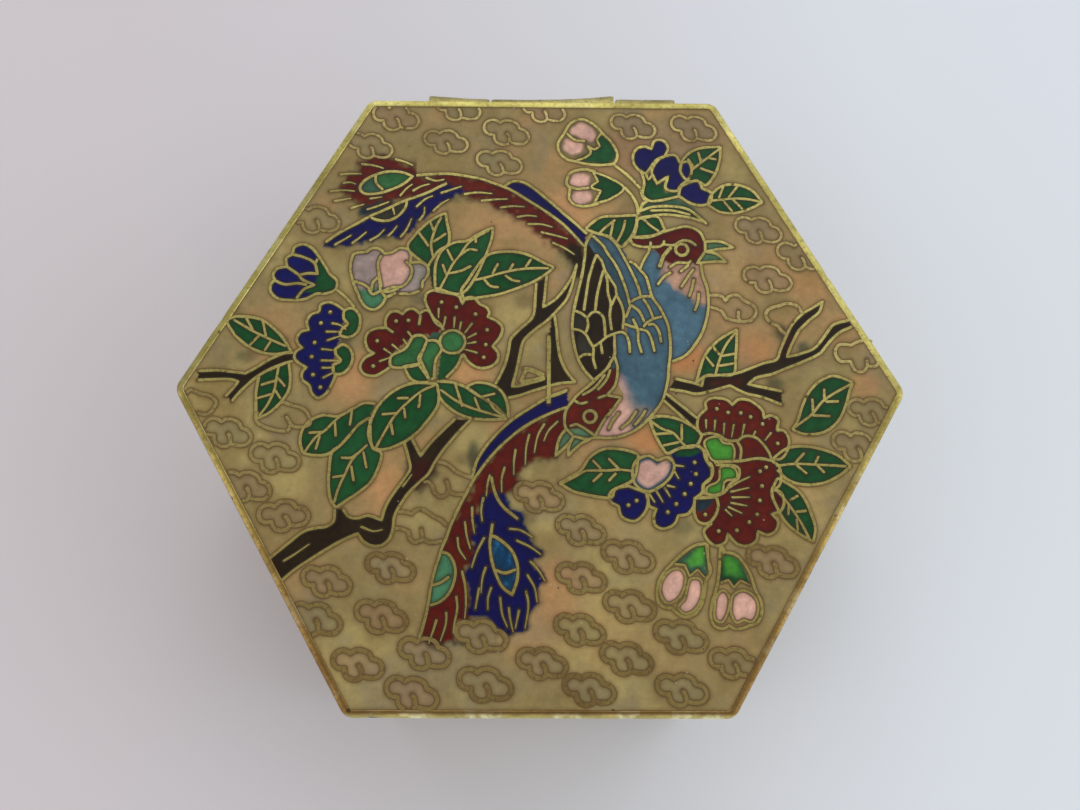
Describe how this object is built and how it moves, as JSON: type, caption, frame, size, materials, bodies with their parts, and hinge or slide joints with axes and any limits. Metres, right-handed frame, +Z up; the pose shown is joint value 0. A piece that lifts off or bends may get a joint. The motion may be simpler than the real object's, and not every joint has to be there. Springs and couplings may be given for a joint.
{
  "type": "cloisonne enamel box",
  "caption": "Six-sided metal trinket box with a hinged lid, enamelled outside in cream with wire-drawn birds, blossom and clouds, and lined in turquoise enamel.",
  "frame": {"origin": "centre of the flat underside, on the surface the box stands on", "axes": "+Z up; corners of the hexagon point along +X and -X; +Y points to the back, where the hinge is"},
  "size_m": [0.0816, 0.0749, 0.038],
  "materials": {
    "brass": "polished, lightly worn",
    "hinge_brass": "satin, tarnished",
    "enamel_cream": "satin gloss, stoned and polished",
    "enamel_turquoise": "gloss"
  },
  "bodies": {
    "body": {"body_shell": "brass", "body_enamel_band": "enamel_cream", "body_enamel_base": "enamel_turquoise", "body_lining": "enamel_turquoise", "hinge_knuckle_left": "hinge_brass", "hinge_knuckle_right": "hinge_brass", "hinge_pin": "brass"},
    "lid": {"lid_shell": "brass", "lid_enamel_band": "enamel_cream", "lid_enamel_top": "enamel_cream", "lid_lining": "enamel_turquoise", "hinge_knuckle_lid": "hinge_brass"}
  },
  "joints": [
    {"name": "lid_hinge", "type": "hinge", "parent": "body", "child": "lid", "pos_m": [0, 0.03756, 0.03193], "axis": [-1, 0, 0], "range_deg": [0, 110]}
  ]
}
